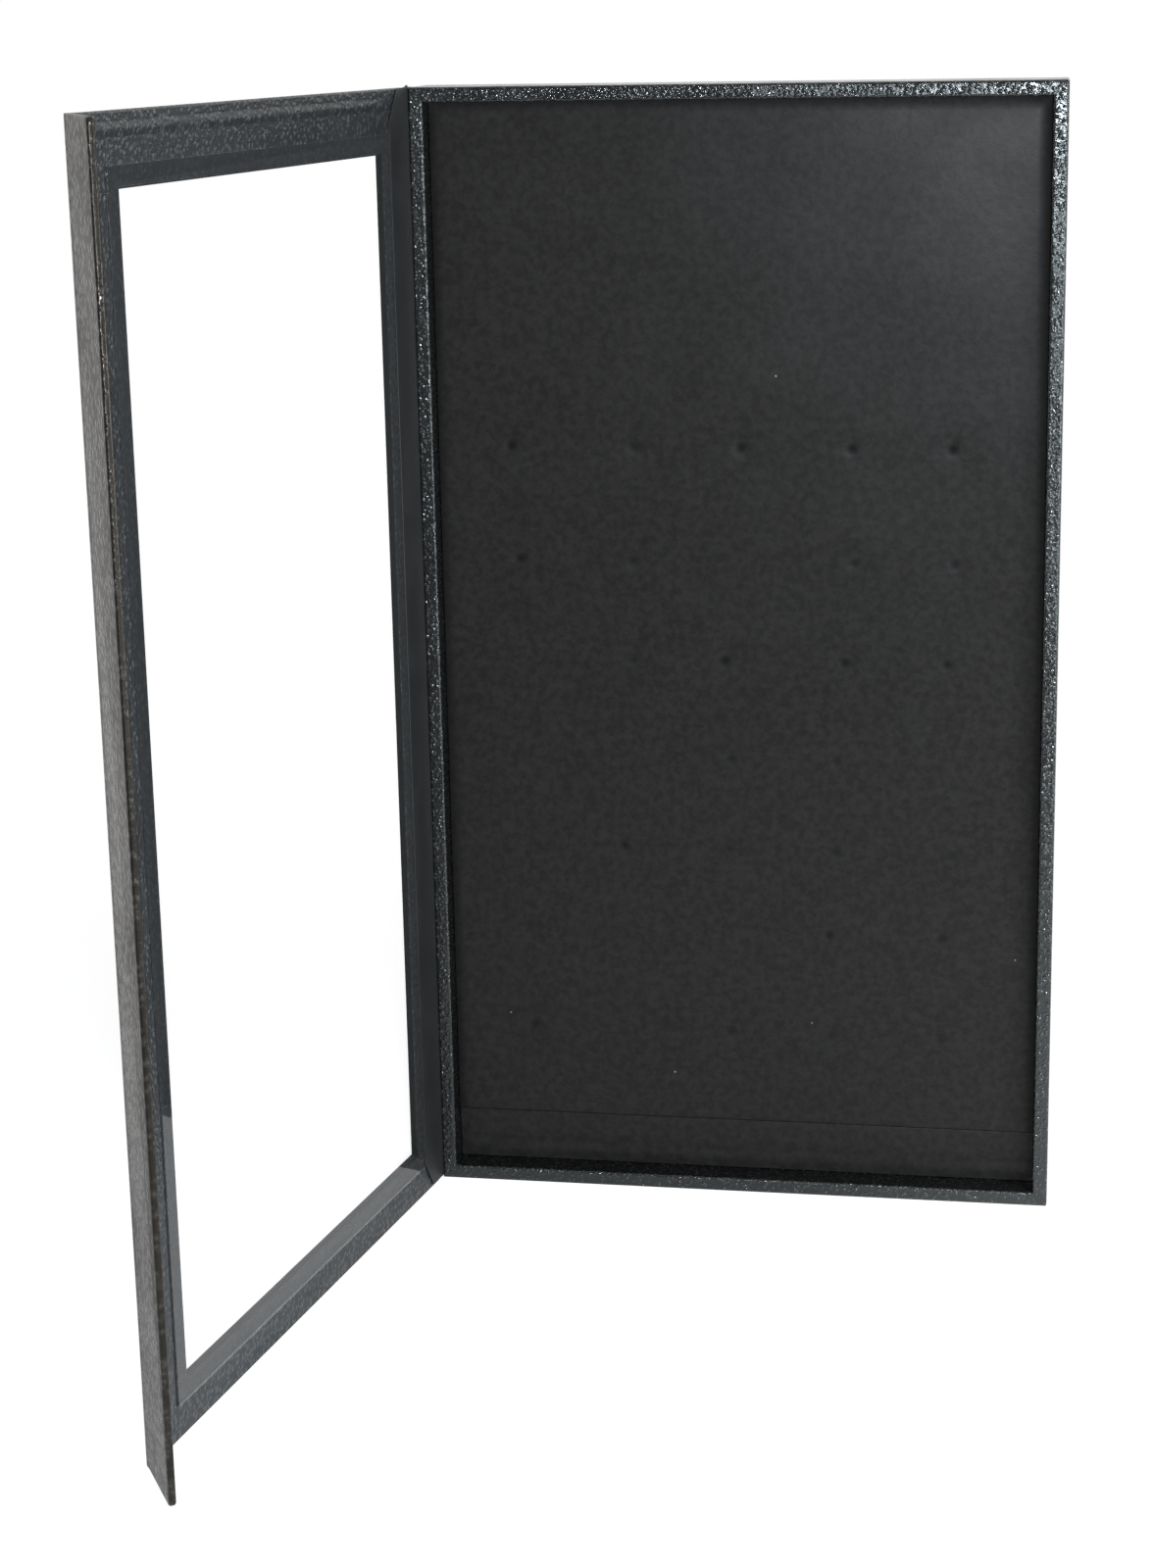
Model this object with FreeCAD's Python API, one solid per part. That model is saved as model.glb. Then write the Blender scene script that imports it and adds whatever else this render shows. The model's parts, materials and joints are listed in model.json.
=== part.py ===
"""Pin display case: a shallow padded tray, a window door hinged to it and a closing flap hinged to the door.

Millimetres, +Z up. The case stands on its lower edge with the door swung open. The origin is the middle of the
tray's bottom face, +X runs from the hinge side to the free side and +Y from the tray's front to its back.
"""

import FreeCAD, Part
import math
import os

from FreeCAD import Vector

# Tray, outside
case_width = 199.0
case_height = 355.6
case_depth = 25.4
wall_width = 4.6
corner_radius = 0.9

# Covering sheets
wrap_thickness = 0.3
liner_thickness = 0.3
front_edge_radius = 0.8
back_edge_radius = 0.6
recess_turn_in = 12.0
back_turn_in = 12.0
back_cover_margin = 3.0
back_cover_corner_radius = 2.0

# Tray, inside
back_board_thickness = 3.0
pad_card_thickness = 1.9
foam_thickness = 12.7
pad_side_gap = 0.2
pad_edge_radius = 2.5
pad_strip_height = 17.0
pad_strip_drop = 0.7
pad_seam_gap = 0.5
pad_seam_radius = 0.8

# Cloth hinge between tray and door
hinge_bead_radius = 0.5
hinge_strip_width = 14.6
hinge_strip_thickness = 0.4
hinge_strip_end_margin = 1.0
hinge_strip_clip_width = 6.6
hinge_strip_clip_height = 10.0
spine_leaf_thickness = 0.25
spine_end_margin = 2.0
spine_front_margin = 1.2
hinge_clearance = 0.3

# Door
door_open_angle = 100.0
door_board_thickness = 1.4
door_board_start = 2.9
door_edge_radius = 0.7
door_liner_margin = 4.6
window_free_margin = 19.6
window_bottom_margin = 16.4
window_top_margin = 19.2
window_edge_radius = 0.4
window_liner_setback = 0.5

# Pane
pane_thickness = 0.6
pane_tape_thickness = 0.15
pane_tape_setback = 0.2
pane_strip_gap = 0.4
pane_hinge_overlap = 5.0
pane_free_overlap = 7.0
pane_end_overlap = 6.0
pane_corner_radius = 1.0

# Flap
flap_fold_angle = 42.0
flap_reach = 24.4
flap_board_thickness = 1.4
flap_edge_radius = 0.7
flap_corner_radius = 1.5
flap_liner_margin = 3.0
flap_clearance = 0.3

# Hidden closure
magnet_radius = 5.0
magnet_thickness = 1.0
magnet_reach = 13.0
keeper_radius = 5.0
keeper_thickness = 1.0
closure_pocket_clearance = 0.15
closure_height_shares = (0.25, 0.75)

# One overrun for every cut, the shortest run that is drawn as a line, and the most of a thickness that is rounded
cut_overrun = 1.0
shortest_run = 1e-6
rounding_limit_share = 0.45

# Tray planes
left = -case_width / 2
right = case_width / 2
front = -case_depth / 2
back = case_depth / 2
cover_front = back - liner_thickness
board_back = cover_front - wrap_thickness
board_front = board_back - back_board_thickness
card_front = board_front - pad_card_thickness
pad_front = card_front - foam_thickness
core_edge_radius = max(front_edge_radius - wrap_thickness, 0)
core_corner_radius = max(corner_radius - wrap_thickness, 0)

# Hinge and fold: the door is drawn closed, at distances along it and inward from the hinge line
UP = Vector(0, 0, 1)
INWARD = Vector(0, 1, 0)
hinge_line = Vector(left, front - hinge_bead_radius, 0)
liner_back = -liner_thickness
turn_in_back = liner_back - wrap_thickness
door_board_outside = turn_in_back - door_board_thickness
door_outside = door_board_outside - wrap_thickness
fold_bead_radius = (liner_back - door_outside) / 2
fold_depth = (liner_back + door_outside) / 2
flap_thickness = flap_board_thickness + 2 * wrap_thickness
fold_reach = case_width + flap_clearance + liner_thickness + flap_thickness / 2
fold_line = hinge_line + Vector(fold_reach, fold_depth, 0)
door_start = door_board_start - wrap_thickness
door_end = fold_reach - fold_bead_radius
pane_start = hinge_strip_width + pane_strip_gap
window_hinge_edge = pane_start + pane_hinge_overlap
window_free_edge = door_end - window_free_margin
window_top_edge = case_height - window_top_margin


def rounded_wire(corners):
    """A closed wire through (point, radius) corners, straight runs joined by tangent arcs."""
    turns = []
    for i, (here, radius) in enumerate(corners):
        into = (corners[i - 1][0] - here).normalize()
        away = (corners[(i + 1) % len(corners)][0] - here).normalize()
        if radius <= 0:
            turns.append((here, None, here))
            continue
        half = into.getAngle(away) / 2
        middle = (into + away).normalize()
        centre = here + middle * (radius / math.sin(half))
        reach = radius / math.tan(half)
        turns.append((here + into * reach, centre - middle * radius, here + away * reach))
    edges = []
    for i, (start, middle, end) in enumerate(turns):
        if middle is not None:
            edges.append(Part.Arc(start, middle, end).toShape())
        following = turns[(i + 1) % len(turns)][0]
        if (following - end).Length > shortest_run:
            edges.append(Part.LineSegment(end, following).toShape())
    return Part.Wire(edges)


def rounded_prism(corners, run):
    """The solid swept by a rounded outline along a straight run."""
    return Part.Face(rounded_wire(corners)).extrude(run)


def upright_panel(low_x, high_x, low_z, high_z, low_y, high_y, radius):
    """A panel in the plane of the tray's front, with rounded corners."""
    spots = ((low_x, low_z), (high_x, low_z), (high_x, high_z), (low_x, high_z))
    corners = [(Vector(x, low_y, z), radius) for x, z in spots]
    return rounded_prism(corners, INWARD * (high_y - low_y))


def inset_panel(inset, low_y, high_y, radius):
    """A panel that follows the case's outline at an even distance inside it."""
    return upright_panel(left + inset, right - inset, inset, case_height - inset, low_y, high_y, radius)


def fillet(shape, radius, chosen):
    """Rounds the straight edges that the test picks by their two ends."""
    edges = [edge for edge in shape.Edges if chosen(edge)]
    return shape.makeFillet(radius, edges)


def level(edge, axis, value):
    """True for an edge that lies wholly in the plane where this axis has this value."""
    return all(abs(vertex.Point[axis] - value) < shortest_run for vertex in edge.Vertexes)


# Tray walls: each is a section, inward from the outer face and back from the front, run along its side

WALLS = {
    "top": (Vector(left, front, case_height), Vector(0, 0, -1), Vector(case_width, 0, 0)),
    "bottom": (Vector(left, front, 0), Vector(0, 0, 1), Vector(case_width, 0, 0)),
    "hinge_side": (Vector(left, front, 0), Vector(1, 0, 0), Vector(0, 0, case_height)),
    "free_side": (Vector(right, front, 0), Vector(-1, 0, 0), Vector(0, 0, case_height)),
}


def mitre_wedge(side):
    """The part of the case's outline that belongs to one wall, cut at 45 degrees at both ends."""
    start, inward, run = WALLS[side]
    depth = max(back_turn_in, wall_width) + cut_overrun
    along = Vector(run).normalize()
    spots = (start, start + run, start + run + (inward - along) * depth, start + (inward + along) * depth)
    return Part.Face(Part.makePolygon([*spots, start])).extrude(INWARD * case_depth)


def wall_section(side, section):
    """Runs a section of (inward, depth, radius) corners along one wall and mitres its ends."""
    start, inward, run = WALLS[side]
    corners = [(start + inward * a + INWARD * b, radius) for a, b, radius in section]
    return rounded_prism(corners, run).common(mitre_wedge(side))


def wall_wrap(side):
    """Leatherette round one rail: into the recess, over the front edge, down the outside and onto the back."""
    turned = cover_front - front
    inside = board_back - front
    skin = wrap_thickness
    section = (
        (wall_width, recess_turn_in, 0),
        (wall_width, 0, front_edge_radius),
        (0, 0, front_edge_radius),
        (0, turned, back_edge_radius),
        (back_turn_in, turned, 0),
        (back_turn_in, inside, 0),
        (skin, inside, 0),
        (skin, skin, core_edge_radius),
        (wall_width - skin, skin, core_edge_radius),
        (wall_width - skin, recess_turn_in, 0),
    )
    return wall_section(side, section).common(inset_panel(0, front, back, corner_radius))


def wall_rail(side):
    """The stiff rail inside one wall, standing on the back board."""
    skin = wrap_thickness
    section = (
        (skin, skin, core_edge_radius),
        (wall_width - skin, skin, core_edge_radius),
        (wall_width - skin, board_front - front, 0),
        (skin, board_front - front, 0),
    )
    return wall_section(side, section).common(inset_panel(skin, front, back, core_corner_radius))


def back_board():
    return inset_panel(wrap_thickness, board_front, board_back, core_corner_radius)


def back_cover():
    """The sheet over the back, thicker inside the turned-in ends of the wall wraps."""
    sheet = inset_panel(back_cover_margin, cover_front, back, back_cover_corner_radius)
    filled = inset_panel(back_turn_in, board_back, cover_front, 0)
    return sheet.fuse(filled).removeSplitter()


# Pad: a card, the foam pad and a filler strip below it

pad_inset = wall_width + pad_side_gap
pad_low = pad_inset + pad_strip_height


def pad_block(low_z, high_z, low_y, edge_radius, seam_z):
    """A block of foam with soft front edges, tighter along the seam."""
    block = upright_panel(left + pad_inset, right - pad_inset, low_z, high_z, low_y, card_front, 0)
    soft = fillet(block, edge_radius, lambda edge: level(edge, 1, low_y) and not level(edge, 2, seam_z))
    return fillet(soft, pad_seam_radius, lambda edge: level(edge, 1, low_y) and level(edge, 2, seam_z))


def foam_pad():
    low = pad_low + pad_seam_gap
    return pad_block(low, case_height - pad_inset, pad_front, pad_edge_radius, low)


def pad_strip():
    return pad_block(pad_inset, pad_low, pad_front + pad_strip_drop, pad_edge_radius, pad_low)


def pad_card():
    return inset_panel(pad_inset, card_front, board_front, 0)


# Hidden closure: magnets in the flap meet keeper plates in the free-side rail

closure_depth = hinge_line.y + fold_depth + magnet_reach


def keeper_discs(clearance):
    """Steel discs flush with the outside of the free-side rail, grown by a clearance for their pockets."""
    seat = right - wrap_thickness
    discs = []
    for share in closure_height_shares:
        spot = Vector(seat - keeper_thickness, closure_depth, case_height * share)
        discs.append(Part.makeCylinder(keeper_radius + clearance, keeper_thickness, spot, Vector(1, 0, 0)))
    return discs


# Cloth hinge

def strip_outline(start, end, across, origin):
    """The hinge strip's outline: straight along the hinge, with the two far corners clipped."""
    low = hinge_strip_end_margin
    high = case_height - hinge_strip_end_margin
    shoulder = end - hinge_strip_clip_width
    spots = (
        (start, low),
        (shoulder, low),
        (end, low + hinge_strip_clip_height),
        (end, high - hinge_strip_clip_height),
        (shoulder, high),
        (start, high),
    )
    points = [origin + across * a + UP * z for a, z in spots]
    return Part.Face(Part.makePolygon([*points, points[0]]))


def spine_leaf():
    """The strip's half that is glued to the tray's hinge side, before its fold is added."""
    origin = Vector(left - spine_leaf_thickness, front, 0)
    leaf = strip_outline(-hinge_bead_radius, hinge_strip_width, INWARD, origin)
    return leaf.extrude(Vector(spine_leaf_thickness, 0, 0))


def hinge_strip_tray():
    """The tray's leaf of the hinge strip with the rounded fold that the door turns on."""
    height = case_height - 2 * hinge_strip_end_margin
    bead = Part.makeCylinder(hinge_bead_radius, height, hinge_line + UP * hinge_strip_end_margin, UP)
    return spine_leaf().fuse(bead).removeSplitter()


def spine_cover():
    """The outer leatherette over the tray's hinge side and the strip's leaf."""
    depth = back_edge_radius + liner_thickness
    thickness = spine_leaf_thickness + wrap_thickness
    corner = Vector(left - thickness, front + spine_front_margin, spine_end_margin)
    length = case_depth - spine_front_margin - depth
    sheet = Part.makeBox(thickness, length, case_height - 2 * spine_end_margin, corner)
    return sheet.cut(spine_leaf())


def hinge_strip_door():
    """The door's leaf of the hinge strip, on the inside of the door beside the hinge."""
    origin = hinge_line + INWARD * liner_back
    start = hinge_bead_radius + hinge_clearance
    leaf = strip_outline(start, hinge_strip_width, Vector(1, 0, 0), origin)
    return leaf.extrude(INWARD * hinge_strip_thickness)


# Door, drawn closed

def door_panel(start, end, low, high, outside, inside, radius=0):
    """A panel of the closed door, placed along the door from the hinge and inward from its liner."""
    x = hinge_line.x
    y = hinge_line.y
    return upright_panel(x + start, x + end, low, high, y + outside, y + inside, radius)


def window_panel(growth, outside, inside, radius=0):
    """The window's outline, grown evenly, through a range of depths."""
    return door_panel(
        window_hinge_edge - growth, window_free_edge + growth,
        window_bottom_margin - growth, window_top_edge + growth, outside, inside, radius,
    )


def door_board():
    low = wrap_thickness
    board = door_panel(door_board_start, door_end, low, case_height - low, door_board_outside, turn_in_back)
    return board.cut(window_panel(wrap_thickness, door_outside, 0))


def door_wrap():
    """Leatherette round the door's board, with the thin hinge web and the rounded fold at the flap."""
    y_out = hinge_line.y + door_outside
    y_in = hinge_line.y + liner_back
    block = door_panel(door_start, door_end, 0, case_height, door_outside, liner_back)
    ends = (0, case_height)
    limit = (y_in - y_out) * rounding_limit_share
    block = fillet(block, min(door_edge_radius, limit), lambda edge: any(level(edge, 2, z) for z in ends)
                   and (level(edge, 1, y_out) or level(edge, 1, y_in)))
    block = block.cut(window_panel(0, door_outside - cut_overrun, cut_overrun))
    rim = (hinge_line.x + window_hinge_edge, hinge_line.x + window_free_edge)
    sills = (window_bottom_margin, window_top_edge)
    block = fillet(block, min(window_edge_radius, limit),
                   lambda edge: (level(edge, 1, y_out) or level(edge, 1, y_in))
                   and (any(level(edge, 0, x) for x in rim) or any(level(edge, 2, z) for z in sills)))
    web = door_panel(hinge_bead_radius + hinge_clearance, door_start, hinge_strip_end_margin,
                     case_height - hinge_strip_end_margin, turn_in_back, liner_back)
    skin = door_panel(door_end, fold_reach, 0, case_height, door_outside, door_board_outside)
    bead = Part.makeCylinder(fold_bead_radius, case_height, fold_line, UP)
    return block.cut(door_board()).fuse([web, skin, bead]).removeSplitter()


def door_liner():
    low = door_liner_margin
    sheet = door_panel(hinge_strip_width, door_end - low, low, case_height - low, liner_back, 0)
    return sheet.cut(window_panel(window_liner_setback, liner_back - cut_overrun, cut_overrun))


def pane_panel(setback, outside, inside, radius=0):
    """The pane's outline, drawn in evenly, through a range of depths."""
    return door_panel(
        pane_start + setback, window_free_edge + pane_free_overlap - setback,
        window_bottom_margin - pane_end_overlap + setback, window_top_edge + pane_end_overlap - setback,
        outside, inside, radius,
    )


def pane_tape():
    sheet = pane_panel(pane_tape_setback, 0, pane_tape_thickness)
    return sheet.cut(window_panel(window_liner_setback + pane_tape_setback, -cut_overrun, cut_overrun))


def window_pane():
    return pane_panel(0, pane_tape_thickness, pane_tape_thickness + pane_thickness, pane_corner_radius)


# Flap, drawn flat in line with the closed door

flap_start = fold_bead_radius + flap_clearance


def flap_panel(start, end, low, high, outside, inside):
    """A panel of the flat flap, placed along the flap from the fold and inward from the fold's depth."""
    x = fold_line.x
    y = fold_line.y
    return upright_panel(x + start, x + end, low, high, y + outside, y + inside, 0)


def flap_wrap():
    """Leatherette round the flap's board, open along the fold."""
    half = flap_thickness / 2
    tip = fold_line.x + flap_reach
    faces = (fold_line.y - half, fold_line.y + half)
    ends = (0, case_height)
    block = flap_panel(flap_start, flap_reach, 0, case_height, -half, half)
    block = fillet(block, flap_corner_radius,
                   lambda edge: level(edge, 0, tip) and any(level(edge, 2, z) for z in ends))
    start = fold_line.x + flap_start
    block = fillet(block, min(flap_edge_radius, flap_thickness * rounding_limit_share),
                   lambda edge: any(level(edge, 1, y) for y in faces) and not level(edge, 0, start))
    return block.cut(flap_core())


def flap_core():
    """The space inside the flap's wrap."""
    half = flap_board_thickness / 2
    low = wrap_thickness
    core = flap_panel(flap_start, flap_reach - low, low, case_height - low, -half, half)
    tip = fold_line.x + flap_reach - low
    ends = (low, case_height - low)
    radius = max(flap_corner_radius - low, 0)
    return fillet(core, radius, lambda edge: level(edge, 0, tip) and any(level(edge, 2, z) for z in ends))


def magnet_discs(clearance):
    """Discs flush with the inner side of the flap's board, grown by a clearance for their pockets."""
    seat = fold_line.y + flap_board_thickness / 2 - magnet_thickness
    discs = []
    for share in closure_height_shares:
        spot = Vector(fold_line.x + magnet_reach, seat, case_height * share)
        discs.append(Part.makeCylinder(magnet_radius + clearance, magnet_thickness, spot, INWARD))
    return discs


def flap_board():
    return flap_core().cut(magnet_discs(closure_pocket_clearance))


def flap_liner():
    low = flap_liner_margin
    inside = flap_thickness / 2
    return flap_panel(flap_start + low, flap_reach - low, low, case_height - low, inside, inside + liner_thickness)


# Rest pose: the flap is folded in by its angle, then swung out with the door

def swing(shape):
    shape.rotate(hinge_line, UP, -door_open_angle)
    return shape


def fold(shape):
    shape.rotate(fold_line, UP, flap_fold_angle)
    return swing(shape)


def nodes():
    """Every piece of the case, by name, where it stands in the rest pose."""
    pieces = {}
    for side in WALLS:
        pieces["rail_" + side] = wall_rail(side)
        pieces["wrap_" + side] = wall_wrap(side)
    pieces["rail_free_side"] = pieces["rail_free_side"].cut(keeper_discs(closure_pocket_clearance))
    pieces["keeper_plates"] = Part.makeCompound(keeper_discs(0))
    for piece in (back_board, back_cover, pad_card, foam_pad, pad_strip, spine_cover, hinge_strip_tray):
        pieces[piece.__name__] = piece()
    for piece in (door_board, door_wrap, door_liner, hinge_strip_door, pane_tape, window_pane):
        pieces[piece.__name__] = swing(piece())
    for piece in (flap_board, flap_wrap, flap_liner):
        pieces[piece.__name__] = fold(piece())
    pieces["flap_magnets"] = fold(Part.makeCompound(magnet_discs(0)))
    return pieces


os.makedirs("parts", exist_ok=True)
for name, shape in nodes().items():
    shape.exportStep(f"parts/{name}.step")
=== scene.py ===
"""Looks of the pin display case: leatherette, foam pad, cloth hinge and clear window."""

import json
import math

import bmesh
import bpy
import numpy as np
from mathutils import Matrix, Vector


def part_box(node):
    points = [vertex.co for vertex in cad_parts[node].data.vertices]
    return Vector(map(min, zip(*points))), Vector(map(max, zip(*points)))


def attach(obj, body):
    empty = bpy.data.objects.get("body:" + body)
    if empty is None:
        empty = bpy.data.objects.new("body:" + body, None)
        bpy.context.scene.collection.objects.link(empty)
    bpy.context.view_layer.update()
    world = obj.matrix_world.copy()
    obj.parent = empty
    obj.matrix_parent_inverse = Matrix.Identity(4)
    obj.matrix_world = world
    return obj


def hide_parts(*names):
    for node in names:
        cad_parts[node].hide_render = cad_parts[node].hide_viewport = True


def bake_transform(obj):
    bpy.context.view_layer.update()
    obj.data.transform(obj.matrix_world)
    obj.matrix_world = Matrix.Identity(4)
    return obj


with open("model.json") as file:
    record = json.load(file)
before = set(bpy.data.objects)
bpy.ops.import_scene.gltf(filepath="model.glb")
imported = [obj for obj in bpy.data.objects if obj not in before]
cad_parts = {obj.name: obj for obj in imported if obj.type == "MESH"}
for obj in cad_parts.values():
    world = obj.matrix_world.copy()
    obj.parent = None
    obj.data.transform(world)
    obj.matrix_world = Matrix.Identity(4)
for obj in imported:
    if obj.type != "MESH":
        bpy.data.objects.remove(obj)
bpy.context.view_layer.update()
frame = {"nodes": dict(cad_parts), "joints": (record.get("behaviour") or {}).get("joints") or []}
nodes = frame["nodes"]
joints = {joint["name"]: joint for joint in frame["joints"]}

# Sizes in metres
MM = 0.001
case_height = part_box("wrap_top")[1].z
tray_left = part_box("wrap_hinge_side")[0].x
hinge_point = Vector(joints["door_hinge"]["pos_m"])
fold_point = Vector(joints["flap_hinge"]["pos_m"])
UP = Vector((0, 0, 1))

# Rest pose, in degrees: how far the door is open and the flap is folded in
DOOR_OPEN = -joints["door_hinge"]["range_deg"][0]
FLAP_FOLD = -joints["flap_hinge"]["range_deg"][0]
SQUARE = 90

# How finely shapes are cut
BEND_CUTS = 15
CORNER_POINTS = 7
EDGE_SEGMENTS = 4
EDGE_ROUND = 0.5
SMOOTH_BELOW = 40

# Foam pad
PAD_STEP = 1.0 * MM
PAD_ROLL = 4.2 * MM
PAD_ROLL_HINGE_SIDE = 5.0 * MM
PAD_ROLL_DEPTH = 0.42 * MM
PAD_SEAM_ROLL = 1.2 * MM
PAD_SEAM_DEPTH = 0.35 * MM
PAD_WAVE = 0.16 * MM
FOAM_WAVES = ((91, 37, 0.3), (-58, 83, 1.7), (140, -45, 4.1), (23, 151, 2.6))
DENT_DEPTH = 0.4 * MM
DENT_RADIUS = 1.6 * MM
DENT_SHADE_RADIUS = 1.9 * MM
EDGE_SHADE = 0.55
DENT_FAINTEST = 0.62
DENT_UNEVEN = 0.2
DENT_SHADE = 0.78
DIMPLE_DEPTH = 0.12 * MM
DIMPLE_RADIUS = 4.5 * MM
STRIP_LEAN = 0.8 * MM
STRIP_CREASE_HEIGHT = 11 * MM
STRIP_CREASE_DEPTH = 0.25 * MM
STRIP_CREASE_WIDTH = 1.8 * MM

# Pin dents: height above the floor, then distances from the tray's hinge side
PIN_DENTS = {
    245 * MM: (28.0 * MM, 67.0 * MM, 100.6 * MM, 135.0 * MM, 166.0 * MM),
    209 * MM: (30.0 * MM, 66.0 * MM, 136.0 * MM, 167.0 * MM),
    177 * MM: (66.0 * MM, 95.0 * MM, 133.0 * MM, 165.0 * MM),
    145 * MM: (97.0 * MM, 130.0 * MM),
    115 * MM: (62.0 * MM, 96.0 * MM, 130.0 * MM, 167.0 * MM),
    87 * MM: (30.5 * MM, 128.0 * MM, 164.0 * MM),
    53 * MM: (31.0 * MM, 96.0 * MM, 129.0 * MM, 164.0 * MM),
}

# Cloth hinge
CLOTH_THICKNESS = 0.4 * MM
CLOTH_EDGE = 0.15 * MM
CLOTH_WIDTH = 14.6 * MM
CLOTH_CLIP = Vector((6.6 * MM, 10.0 * MM))
CLOTH_LOW_MARGIN = 1.0 * MM
CLOTH_TOP_MARGIN = 0.2 * MM
CLOTH_PEAK = 0.9 * MM
CLOTH_PEAK_WIDTH = 1.6 * MM
CLOTH_PROUD = 0.3 * MM
CLOTH_BEND = 1.6 * MM

# Flap cover
COVER_SKIN = 0.03 * MM
COVER_HALF = 1.0 * MM
COVER_REACH = 24.4 * MM
COVER_LAP = 3.6 * MM
COVER_BEND = 2.6 * MM
COVER_CORNER = 1.5 * MM
COVER_EDGE = 0.7 * MM

# Window in the door, from the hinge line
DOOR_TURN = math.radians(DOOR_OPEN)
DOOR_WAY = Vector((math.cos(DOOR_TURN), -math.sin(DOOR_TURN), 0))
WINDOW_HALF = Vector((80.0 * MM, 160.0 * MM))
WINDOW_FROM_HINGE = 100.0 * MM
WINDOW_HEIGHT = 176.4 * MM
WINDOW_MIDDLE = hinge_point + DOOR_WAY * WINDOW_FROM_HINGE + UP * WINDOW_HEIGHT
WINDOW_EDGE_REACH = 0.5 * MM

# Edge of the door's liner: a soft ridge below the top edge of the door
LINER_END = 195.0 * MM
RIDGE_HEIGHT = 0.36 * MM
RIDGE_ROOT = 0.1 * MM
RIDGE_HALF_WIDTH = 2.0 * MM
RIDGE_TAPER = 6.0 * MM
RIDGE_STEP = 0.4 * MM
RIDGE_WAVE = 0.25
RIDGE_WAVE_STRETCH = 3

# Camera, from the photograph's own lines
IMAGE_SIZE = Vector((1175, 1600))
FOCAL_PIXELS = 2882.6
PRINCIPAL_PIXEL = Vector((641.6, 709.9))
CAMERA_PLACE = Vector((0.1036, -0.8692, 0.3776))
CAMERA_TURN = (13.658, 9.136, -0.926)
SENSOR = 36.0
CLIP_START = 0.01

# Light
AMBIENT = 0.2
ROOM_BEHIND_CAMERA = 0.165
ROOM_DIM_FROM = -0.8
ROOM_DIM_TO = -0.1
CASE_MIDDLE = Vector((0.0, 0.0, 0.2))
FLASH_PLACE = Vector((0.115, -0.88, 0.36))
FLASH_SIDE = 0.05
FLASH_POWER = 3.4
FLASH_TINT = (0.94, 1.0, 1.07)
SIDE_LAMP_PLACE = Vector((0.38, -0.33, 0.24))
SIDE_LAMP_SIDE = 0.24
SIDE_LAMP_POWER = 1.5
LOW_LAMP_PLACE = Vector((0.4, -0.74, 0.05))
LOW_LAMP_SIDE = 0.2
LOW_LAMP_POWER = 0.8
LAMP_TINT = (0.93, 1.0, 1.06)
FLOOR_REACH = 8.0
FLOOR_TONE = 0.8
FLOOR_GLOW = 0.78
# Glow of the floor near the case as seen in reflections, on the hinge side and on the free side: a painted
# reflection
FLOOR_SHEEN_HINGE_SIDE = 0.34
FLOOR_SHEEN_FREE_SIDE = 0.8
SHADOW_NEAR = 0.12
SHADOW_FAR = 0.5
FRONT_NEAR = -0.3
FRONT_FAR = -0.6

# A Mix node's sockets for colours: its share and two colours, and its result
MIX_SOCKETS = (0, 6, 7)
MIX_RESULT = 2

# Middle range of a noise texture
NOISE_LOW = 0.3
NOISE_HIGH = 0.7

# Pebble grain, in pebble sizes
DRIFT_SCALE = 0.55
DRIFT_DETAIL = 2.0
DRIFT_REACH = (0.9, 0.9, 0.9)
PEBBLE_BLUR = 0.2
PEBBLE_RIM = 0.62
PEBBLE_TOP = 0.02
BEADS_PER_PEBBLE = 2.3
BEAD_BLUR = 0.3
BEAD_RIM = 0.6
BEAD_TOP = 0.05
BEAD_SHARE = 0.25
GRIT_PER_PEBBLE = 5.0
GRIT_SHARE = 0.08
CREASE_FROM = 0.36
CREASE_TO = 0.66
MOTTLE_SCALE = 0.06
SOFT_DETAIL = 3.0
FINE_DETAIL = 4.0

# Leatherette
# Painted highlight on the pebble crowns and painted shade in the creases: where on the grain's height the
# crowns start and finish lightening
CROWN_HIGHLIGHT_FROM = 0.55
CROWN_HIGHLIGHT_TO = 1.1
PEBBLE_SIDE_SHARE = 0.7
CREASE_DULLER = 0.12
MOTTLE_SHINIER = 0.05
MOTTLE_DULLER = 0.07
WINDOW_EDGE_TONE = 0.004
WALL_SHIFT = (0.31, 0.17, 0.23)
SHIFTS = {
    "spine": (0.7, 0.2, 0.4), "door": (0.55, 0.4, 0.2), "lining": (0.45, 0.9, 0.1), "back": (0.15, 0.6, 0.8),
    "under tape": (0.25, 0.7, 0.3), "flap": (0.05, 0.35, 0.66),
}
# Painted light: the door's leatherette, outside and lining, has about three times the walls' tone, a lighter
# copy of the same leatherette where the door's inside catches more light
LIT_DOOR_GRAIN = {
    "cell": 1.6 * MM, "relief": 0.17 * MM, "tone": 0.055, "dull": 0.3, "gloss": 0.58, "crown_highlight": 1.75,
    "crease_shade": 0.35, "warmth": -0.05, "tint": (0.9, 0.98, 1, 1),
}
TAPED_GRAIN = {
    "cell": 1.6 * MM, "relief": 0.05 * MM, "tone": 0.04, "dull": 0.6, "gloss": 0.2, "crown_highlight": 1.3,
    "crease_shade": 0.6, "warmth": -0.05,
}
FLAP_GRAIN = {
    "cell": 2.0 * MM, "relief": 0.1 * MM, "tone": 0.028, "dull": 0.24, "gloss": 0.38, "crown_highlight": 1.6,
    "warmth": 0.1, "tint": (1, 0.9, 0.78, 1),
}

# Lint: spacing of its cells, size of a speck in a cell and share of the cells that have one
LINT_WANDER_SCALE = 900.0
LINT_WANDER = (0.6 * MM, 0.6 * MM, 0.6 * MM)
LEATHER_DUST = {"Spacing": 9 * MM, "Speck": 0.025, "Share": 0.12}
CLOTH_DUST = {"Spacing": 8 * MM, "Speck": 0.03, "Share": 0.12}
FOAM_LINT = {"Spacing": 11 * MM, "Speck": 0.03, "Share": 0.2}
DUST_TONE = 0.3
LINT_TONE = 0.25
LEATHER_DUST_WARMTH = 0.04
DUST_WARMTH = 0.03

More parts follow.
